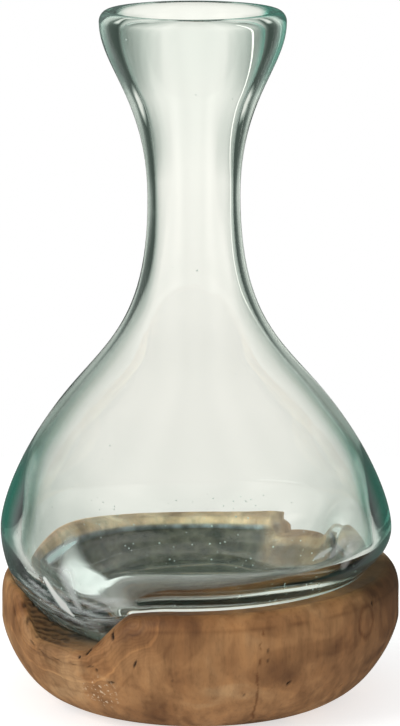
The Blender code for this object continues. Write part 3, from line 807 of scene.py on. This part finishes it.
def carvedMarks(material):
    # Sinks growth grooves, the lip line, hand marks, pits and charred grain into the wood, by its attributes
    tree, size = sizedTree("carved_marks", woodMarks)
    add = partial(addNode, tree)
    place = add("GeometryNodeInputPosition")
    outer = add("storedNumber", "outerShare")

    def grain(length, detail=2.0):
        # Noise round zero, with grains of this length
        even = add("ShaderNodeTexNoise", place, Scale=add("divide", 1.0, length), Detail=detail)
        return add("subtract", even, 0.5)

    spacing = size["Groove Spacing"]
    wobble = add("multiply", grain(add("multiply", spacing, 3.0)), spacing)
    run = add("add", add("storedNumber", "grooveRun"), add("multiply", wobble, size["Groove Wander"]))
    wave = add("cosine", add("multiply", add("divide", run, spacing), 2.0 * math.pi))
    groove = add("power", add("multiply_add", wave, 0.5, 0.5), grooveSharpness)
    groove = add("multiply", groove, add("storedNumber", "grooveShare"))
    groove = add("multiply", groove, size["Groove Depth"])

    lip = add("multiply", grain(size["Lip Line Wave"]), size["Lip Line Wander"])
    off = add("subtract", add("add", add("storedNumber", "lipDistance"), lip), size["Lip Width"])
    off = add("divide", add("absolute", off), size["Lip Line Half Width"])
    line = add("multiply", add("maximum", add("subtract", 1.0, off), 0.0), outer)
    line = add("multiply", line, size["Lip Line Depth"])

    hand = add("multiply", grain(size["Hand Mark Size"], 1.0), outer)
    hand = add("maximum", add("add", hand, size["Hand Mark Spread"]), 0.0)
    hand = add("multiply", add("multiply", hand, size["Hand Mark Depth"]), outer)
    char = add("multiply", add("add", grain(size["Char Grain"]), 0.5), add("storedNumber", "charShare"))
    char = add("multiply", char, size["Char Depth"])

    depth = add("storedNumber", "pitDepth")
    for mark in (groove, line, hand, char):
        depth = add("add", depth, mark)
    inward = add("vector_scale", add("GeometryNodeInputNormal"), add("multiply", depth, -1.0))
    moved = add("GeometryNodeSetPosition", size["Geometry"], Offset=inward)
    real = add("GeometryNodeRealizeInstances", moved)
    add("NodeGroupOutput", add("GeometryNodeSetMaterial", real, Material=material))
    return tree


# Looks of the wood. Grains give their size in millimetres; other lengths are in metres. Colours as shares
# lighten or darken what is below. A pair of numbers is where a mark starts and how steeply it comes in.
woodLook = {
    "patchGrain": 33.333, "paintedLightToLeft": -1.1,       # painted light: lighter towards the left, where the key light falls
    "patches": ((0.28, "6c482a"), (0.45, "875f3a"), (0.55, "996f46"), (0.72, "a9845b")),
    # upright streaks, fibres and pores: grain, detail, share of their height, twist, shades
    "upright": (
        (18.182, 4.0, 0.16, 0.3, ((0.35, 0.86), (0.5, 1.0), (0.66, 1.07))),
        (4.762, 5.0, 0.12, 0.2, ((0.34, (0.8, 0.78, 0.76)), (0.5, 1.0), (0.66, (1.12, 1.11, 1.08)))),
        (1.1111, 2.0, 0.35, 0.0, ((0.3, 0.9), (0.45, 1.0), (0.7, 1.04)))),
    # growth rings that the notch cut across, in shares of their reach from its lip, at 5, 12 and 20 mm
    "ringReach": 0.03, "ringGrain": 11.765, "ringWander": 0.0065,
    "rings": ((0.0, (0.68, 0.61, 0.58)), (0.1, (0.78, 0.7, 0.64)), (0.163, (0.5, 0.43, 0.38)),
              (0.21, (0.8, 0.76, 0.72)), (0.36, (0.82, 0.78, 0.75)), (0.405, (1.28, 1.25, 1.18)),
              (0.44, (0.88, 0.86, 0.84)), (0.61, (0.96, 0.95, 0.94)), (0.655, (0.8, 0.76, 0.72)),
              (0.7, 1.0), (1.0, 1.0)),
    "ringFadeGrain": 13.333, "ringFade": 4.0, "ringKept": 0.62,
    "fineRingSpacing": 0.0016982, "fineRingWander": 1.6, "fineRingReach": 0.026316,
    "fineRings": ((0.0, (0.88, 0.85, 0.82)), (0.5, 1.0), (1.0, (1.05, 1.04, 1.03))),
    # painted light and shade on the rim: the strip is lighter, with a soft painted dark line under it where
    # the rounding turns down
    "rimReach": 0.016667, "rimShare": 0.85,
    "rimPaintedLightAndShade": ((0.0, (1.12, 1.08, 1.02)), (0.3, (1.1, 1.06, 1.0)), (0.38, (0.76, 0.7, 0.64)),
                 (0.47, 1.0), (1.0, 1.0)),
    "knotGrain": 3.8462, "knotWander": 0.14, "knotReach": 0.25,
    "knotRing": ((0.0, 1.08), (0.17, 1.06), (0.25, (0.7, 0.62, 0.55)), (0.33, 1.0), (1.0, 1.0)),
    # a broken red-brown vein down the front, which leans with its height
    "veinX": 0.0225, "veinLean": 0.12, "veinGrain": 14.286, "veinWander": 0.008, "veinSharpness": 900.0,
    "veinBreakGrain": 5.2632, "veinBreak": (0.47, 9.0), "veinFront": (-0.03, 60.0), "veinShare": 0.75,
    "veinColour": "5e3514",
    # charred and smoked where the hot glass lay, with the growth grooves dark in the notch
    "charGrain": 6.25, "charred": ((0.3, "2e2821"), (0.5, "50473b"), (0.7, "6f6455")),
    "grooved": ((0.0, "654a30"), (0.45, "3c2c1c"), (1.0, "1e150c")),
    "grooveUnevenGrain": 4.1667, "grooveUneven": (1.1, 0.2),
    "pitDark": 1500.0, "pitColour": "2c1b0e",
    "paintedLitTop": (3.1, 4.3, 7.2, 1.0),               # painted light: the rim top behind the glass and in the step, paler as if lit from above
    # white flecks of filler below the notch
    "fleckPlace": (-0.0414, -0.0699, 0.0214), "fleckReach": (0.011, 220.0),
    "fleckGrain": 1.6129, "fleckCut": (0.6, 14.0), "fleckShare": 0.75, "fleckColour": "c9b092",
    # painted shadow: the top at the right is darker, where the glass shades it
    "paintedShadowFromX": (0.055, 45.0), "paintedShadowFromZ": (0.047, 110.0), "paintedShadowTint": (0.62, 0.66, 0.68, 1.0),
    "roughness": 0.58, "specular": 0.25,
}


def oiledRootWood():
    # Teak root, cut, sanded and oiled, so it is soft to the eye: brown and tan patches, contour lines round
    # the notch and a charred hollow
    material, tree = newMaterial("oiled_root_wood")
    add, steps, look = partial(addNode, tree), partial(colourSteps, tree), woodLook
    place = add("ShaderNodeTexCoord").outputs["Object"]
    x, y, z = add("ShaderNodeSeparateXYZ", place).outputs
    lipDistance, grooveShare, grooveRun, charShare, rimDrop, paintedLitTop, outerShare, pitDepth, knotDistance = (
        add("ShaderNodeAttribute", attribute_name=name).outputs["Fac"] for name in (
            "lipDistance", "grooveShare", "grooveRun", "charShare", "rimDrop", "paintedLitTop", "outerShare",
            "pitDepth", "knotDistance"))

    def grain(name, detail=2.0, stretch=(1.0, 1.0, 1.0), twist=0.0):
        # Noise with grains of so many millimetres, by its name in woodLook or as a number
        size = look[name] if isinstance(name, str) else name
        lay = add("ShaderNodeMapping", place, Scale=stretch)
        return add("ShaderNodeTexNoise", lay, Scale=1000.0 / size, Detail=detail, Distortion=twist)

    def sway(name, detail=2.0):
        # The same, to both sides of zero
        return add("subtract", grain(name, detail), 0.5)

    def within(value, start, slope):
        # 0 up to the start, then up to 1 by this slope
        return add("multiply", add("subtract", value, start), slope, use_clamp=True)

    # Broad patches of heartwood and sapwood, then streaks, fibres and pores
    patches = grain("patchGrain", 3.0, (1.0, 1.0, 1.3), 0.5)
    # Painted light: the wood is lighter towards the left and darker to the right
    tone = add("add", patches, add("multiply", x, look["paintedLightToLeft"]), use_clamp=True)
    colour = steps(tone, look["patches"], "EASE")
    for size, detail, height, twist, shades in look["upright"]:
        upright = grain(size, detail, (1.0, 1.0, height), twist)
        colour = add("colourTimes", 1.0, colour, steps(upright, shades))

    # Growth rings, wide and fine, and the rim strip with its painted light and shade
    wander = add("multiply", sway("ringGrain"), look["ringWander"])
    apart = add("divide", add("add", lipDistance, wander), look["ringReach"], use_clamp=True)
    ringShare = add("multiply_add", sway("ringFadeGrain", 3.0), look["ringFade"], look["ringKept"],
                    use_clamp=True)
    colour = add("colourTimes", ringShare, colour, steps(apart, look["rings"]))
    run = add("add", lipDistance, add("multiply", wander, look["fineRingWander"]))
    fineRing = add("sine", add("multiply", run, 2.0 * math.pi / look["fineRingSpacing"]))
    nearLip = add("subtract", 1.0, add("multiply", lipDistance, 1.0 / look["fineRingReach"]), use_clamp=True)
    fineRing = add("multiply_add", add("multiply", fineRing, nearLip), 0.5, 0.5, use_clamp=True)
    colour = add("colourTimes", outerShare, colour, steps(fineRing, look["fineRings"]))
    # Painted light and shade: the rim strip lighter, with a dark line under it
    strip = steps(add("multiply", rimDrop, 1.0 / look["rimReach"], use_clamp=True), look["rimPaintedLightAndShade"])
    colour = add("colourTimes", add("multiply", ringShare, look["rimShare"]), colour, strip)

    # The healed knot and the vein
    knot = add("add", add("multiply", knotDistance, look["knotReach"]),
               add("multiply", sway("knotGrain"), look["knotWander"]), use_clamp=True)
    colour = add("colourTimes", 1.0, colour, steps(knot, look["knotRing"]))
    veinAt = add("add", add("multiply", z, look["veinLean"]), look["veinX"])
    veinAt = add("add", veinAt, add("multiply", sway("veinGrain", 3.0), look["veinWander"]))
    offVein = add("multiply", add("absolute", add("subtract", x, veinAt)), look["veinSharpness"])
    vein = add("subtract", 1.0, offVein, use_clamp=True)
    broken = within(grain("veinBreakGrain", 3.0), *look["veinBreak"])
    frontStart, frontSlope = look["veinFront"]
    front = add("multiply", add("subtract", frontStart, y), frontSlope, use_clamp=True)
    vein = add("multiply", add("multiply", vein, broken), add("multiply", front, look["veinShare"]))
    colour = add("colourMix", vein, colour, linearColour(look["veinColour"]))

    # The charred hollow, the grooves and the pits
    colour = add("colourMix", charShare, colour, steps(grain("charGrain", 4.0), look["charred"]))
    spacing = woodMarks["Groove Spacing"]
    wobble = add("multiply", sway(3000.0 * spacing), spacing * woodMarks["Groove Wander"])
    wave = add("cosine", add("multiply", add("add", grooveRun, wobble), 2.0 * math.pi / spacing))
    valley = add("power", add("add", add("multiply", wave, 0.5), 0.5), grooveSharpness)
    uneven = add("multiply_add", grain("grooveUnevenGrain", 3.0), *look["grooveUneven"], use_clamp=True)
    colour = add("colourMix", add("multiply", grooveShare, uneven), colour, steps(valley, look["grooved"]))
    pit = add("multiply", pitDepth, look["pitDark"], use_clamp=True)
    colour = add("colourMix", pit, colour, linearColour(look["pitColour"]))

    # The painted light on the rim top, the flecks and the painted shadow on the top at the right
    colour = add("colourTimes", paintedLitTop, colour, look["paintedLitTop"])
    fleckEnd, fleckSlope = look["fleckReach"]
    offFlecks = add("vector_distance", place, look["fleckPlace"])
    fleckZone = add("multiply", add("subtract", fleckEnd, offFlecks), fleckSlope, use_clamp=True)
    fleck = within(grain("fleckGrain", 1.0), *look["fleckCut"])
    fleck = add("multiply", add("multiply", fleck, fleckZone), look["fleckShare"])
    colour = add("colourMix", fleck, colour, linearColour(look["fleckColour"]))
    # Painted shadow of the glass on the top at the right
    paintedShadowShare = add("multiply", within(x, *look["paintedShadowFromX"]), within(z, *look["paintedShadowFromZ"]))
    colour = add("colourTimes", paintedShadowShare, colour, look["paintedShadowTint"])
    surface = add("ShaderNodeBsdfPrincipled", Roughness=look["roughness"], **{
        "Base Color": colour, "Specular IOR Level": look["specular"]})
    add("ShaderNodeOutputMaterial", surface)
    return material


# Studio: white to the eye. A tent half a metre round the vase is what the glass shows and bends. Pairs say
# where something starts and is full, in metres up (z) or back (y), or the two strengths there.
studioLook = {
    "white": (1.0, 1.0, 1.0, 1.0), "roomLight": 0.62, "reflected": 0.1, "reflectedColour": "f4f5ef",
    "floorRadius": 0.48, "floorHeight": -0.0002, "floorGrey": (0.6, 0.6, 0.6, 1.0),
    "tentRadius": 0.5, "tentLow": -0.7, "tentHigh": 2.5, "tentColour": "fdfbf3", "tentShade": "b9d6c6",
    # degrees from a panel's middle, and how bright the tent is there: low down, as high as the mouth, and on
    # the narrow panels between
    "panelFade": ((0.0, 1.0), (7.0, 0.97), (12.0, 0.87), (18.0, 0.76), (24.0, 0.66),
                  (28.0, 0.46), (32.0, 0.2), (37.0, 0.11)),
    "panelFadeHigh": ((0.0, 1.0), (6.0, 0.93), (9.0, 0.78), (12.0, 0.62), (16.0, 0.46), (21.0, 0.33),
                      (28.0, 0.2), (36.0, 0.09)),
    "panelFadeCorner": ((0.0, 1.0), (4.0, 0.92), (7.0, 0.55), (10.0, 0.14), (14.0, 0.0)),
    "mouthHigh": (0.185, 0.29), "cornerHigh": (0.16, 0.1),      # heights between which these take over
    "diagonalLow": (-0.02, -0.12), "diagonalFront": (0.0, -0.06),
    "strengthHeights": (-0.1, 0.2), "strengths": (0.955, 1.1),
    "frontDepths": (-0.37, -0.46), "frontStrengths": (1.0, 0.55),       # dimmer behind the camera
    "mirrorDepths": (0.1, 0.5), "mirrored": (0.12, 0.15),               # what the outer skin mirrors
    "stripTurn": 18.0, "stripWidth": 0.8, "stripEdge": 1.4, "stripStrength": 1.6,
    "stripHeights": (0.02, 0.06),
    # name, place, width, height, watts
    "softboxes": (("key_softbox", (-0.95, -0.75, 0.75), 0.5, 0.8, 9.0),
                  ("fill_softbox", (1.0, -0.9, 0.9), 0.6, 0.6, 2.0)),
    "softboxAim": (0.0, 0.0, 0.14),
}


def studioFloor():
    # A pale card that the vase stands on. The glass looks past it into the tent.
    look = studioLook
    bpy.ops.mesh.primitive_circle_add(vertices=128, radius=look["floorRadius"], fill_type="NGON",
                                      location=(0.0, 0.0, look["floorHeight"]))
    floor = bpy.context.object
    floor.name = "studio_floor"
    material, tree = newMaterial("white_card")
    paper = addNode(tree, "ShaderNodeBsdfDiffuse", look["floorGrey"])
    glow = addNode(tree, "ShaderNodeEmission", look["white"], look["roomLight"])
    addNode(tree, "ShaderNodeOutputMaterial", addNode(tree, "ShaderNodeAddShader", paper, glow))
    floor.data.materials.append(material)
    floor.visible_transmission = floor.visible_glossy = False


def panelBrightness(tree, around, spacing, fades):
    # Brightness of a ring of soft panels, one every so many degrees
    widest = 45.0
    share = addNode(tree, "divide", addNode(tree, "pingpong", around, spacing / 2), widest)
    return colourSteps(tree, share, [(angle / widest, light) for angle, light in fades], "EASE")


def litCloth():
    # Cloth lit from behind in soft upright panels, the widest ones in front, behind and at the sides
    material, tree = newMaterial("lit_tent_cloth")
    material.cycles.emission_sampling = "NONE"
    add, look = partial(addNode, tree), studioLook
    x, y, z = add("ShaderNodeSeparateXYZ", add("ShaderNodeTexCoord").outputs["Object"]).outputs
    around = add("multiply_add", add("arctan2", y, x), math.degrees(1.0), 360.0)
    square = add("numberMix", add("range", z, *look["mouthHigh"]),
                 panelBrightness(tree, around, 90.0, look["panelFade"]),
                 panelBrightness(tree, around, 90.0, look["panelFadeHigh"]))
    free = add("maximum", add("range", z, *look["diagonalLow"]), add("range", y, *look["diagonalFront"]))
    diagonal = add("multiply", panelBrightness(tree, around, 45.0, look["panelFade"]), free)
    narrow = add("multiply", panelBrightness(tree, around, 45.0, look["panelFadeCorner"]),
                 add("range", z, *look["cornerHigh"]))
    light = add("maximum", add("maximum", square, diagonal), narrow)
    # One thin strip draws the bright line down the neck
    offStrip = add("absolute", add("subtract", around, 450.0 - look["stripTurn"]))
    strip = add("range", offStrip, look["stripWidth"] * look["stripEdge"], look["stripWidth"],
                0.0, look["stripStrength"])
    light = add("maximum", light, add("multiply", strip, add("range", z, *look["stripHeights"])))
    light = add("multiply", light, add("range", z, *look["strengthHeights"], *look["strengths"]))
    panels = add("multiply", light, add("range", y, *look["frontDepths"], *look["frontStrengths"]))
    plain = add("softRange", y, *look["mirrorDepths"], *look["mirrored"])
    strength = add("numberMix", add("ShaderNodeLightPath").outputs["Is Transmission Ray"], plain, panels)
    cloth = add("colourMix", strength, linearColour(look["tentShade"]), linearColour(look["tentColour"]))
    add("ShaderNodeOutputMaterial", add("ShaderNodeEmission", cloth, strength))
    return material


def studioTent():
    # A round wall of that cloth, seen only in a shine and through the glass
    look = studioLook
    count = 128
    vertices = []
    for k in range(count):
        turn = 2 * math.pi * k / count
        place = (look["tentRadius"] * math.cos(turn), look["tentRadius"] * math.sin(turn))
        vertices += [(*place, look["tentLow"]), (*place, look["tentHigh"])]
    faces = [(2 * k, 2 * k + 1, (2 * k + 3) % (2 * count), (2 * k + 2) % (2 * count)) for k in range(count)]
    tent = newPiece("studio_tent", vertices, faces)
    tent.data.materials.append(litCloth())
    tent.visible_camera = tent.visible_diffuse = False
    tent.visible_shadow = tent.visible_volume_scatter = False


def studioWorld():
    # White to the camera, an even room to the wood and a dim one to what the glass mirrors
    look = studioLook
    world = bpy.data.worlds.new("studio_room")
    bpy.context.scene.world = world
    world.use_nodes = True
    add = partial(addNode, world.node_tree)
    world.node_tree.nodes.clear()
    seenBy = add("ShaderNodeLightPath").outputs
    room = add("ShaderNodeBackground", look["white"], look["roomLight"])
    mirrored = add("ShaderNodeBackground", linearColour(look["reflectedColour"]), look["reflected"])
    white = add("ShaderNodeBackground", look["white"], 1.0)
    unseen = add("ShaderNodeMixShader", seenBy["Is Glossy Ray"], room, mirrored)
    add("ShaderNodeOutputWorld", add("ShaderNodeMixShader", seenBy["Is Camera Ray"], unseen, white))


def softbox(name, place, width, height, watts):
    data = bpy.data.lights.new(name, "AREA")
    data.shape = "RECTANGLE"
    data.size = width
    data.size_y = height
    data.energy = watts
    lamp = bpy.data.objects.new(name, data)
    lamp.location = place
    way = Vector(studioLook["softboxAim"]) - Vector(place)
    lamp.rotation_euler = way.to_track_quat("-Z", "Y").to_euler()
    bpy.context.scene.collection.objects.link(lamp)


def photoCamera():
    # The photograph looks down on the vase by about 12 degrees from 1.73 m away
    pitch, distance, aim = math.radians(11.85), 1.72745, Vector((0.0012, 0.0, 0.15366))
    data = bpy.data.cameras.new("photo_camera")
    data.lens = 188.93
    data.sensor_width = 36.0
    data.clip_start = 0.05
    camera = bpy.data.objects.new("photo_camera", data)
    camera.location = aim + Vector((0.0, -math.cos(pitch), math.sin(pitch))) * distance
    camera.rotation_euler = (math.radians(90.0) - pitch, 0.0, 0.0)
    bpy.context.scene.collection.objects.link(camera)
    bpy.context.scene.camera = camera


print("glass bottle")
bottle = blownBottle()
bottle.data.materials.append(recycledGlass())
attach(bottle, "bottle")
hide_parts("glass_bottle")

print("seeds in the glass")
trappedAir = seedBubble()
seeds = settleNodes(midWall(), scatteredSeeds(trappedAir), seedSizes)
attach(seeds, "bottle")

print("wooden base")
rootWood = oiledRootWood()
base = settleNodes(rootWoodBase(), carvedMarks(rootWood), woodMarks)
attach(base, "base")
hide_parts("wooden_base")

print("studio")
studioFloor()
studioTent()
studioWorld()
for box in studioLook["softboxes"]:
    softbox(*box)
photoCamera()
bpy.context.scene.view_settings.view_transform = "Standard"
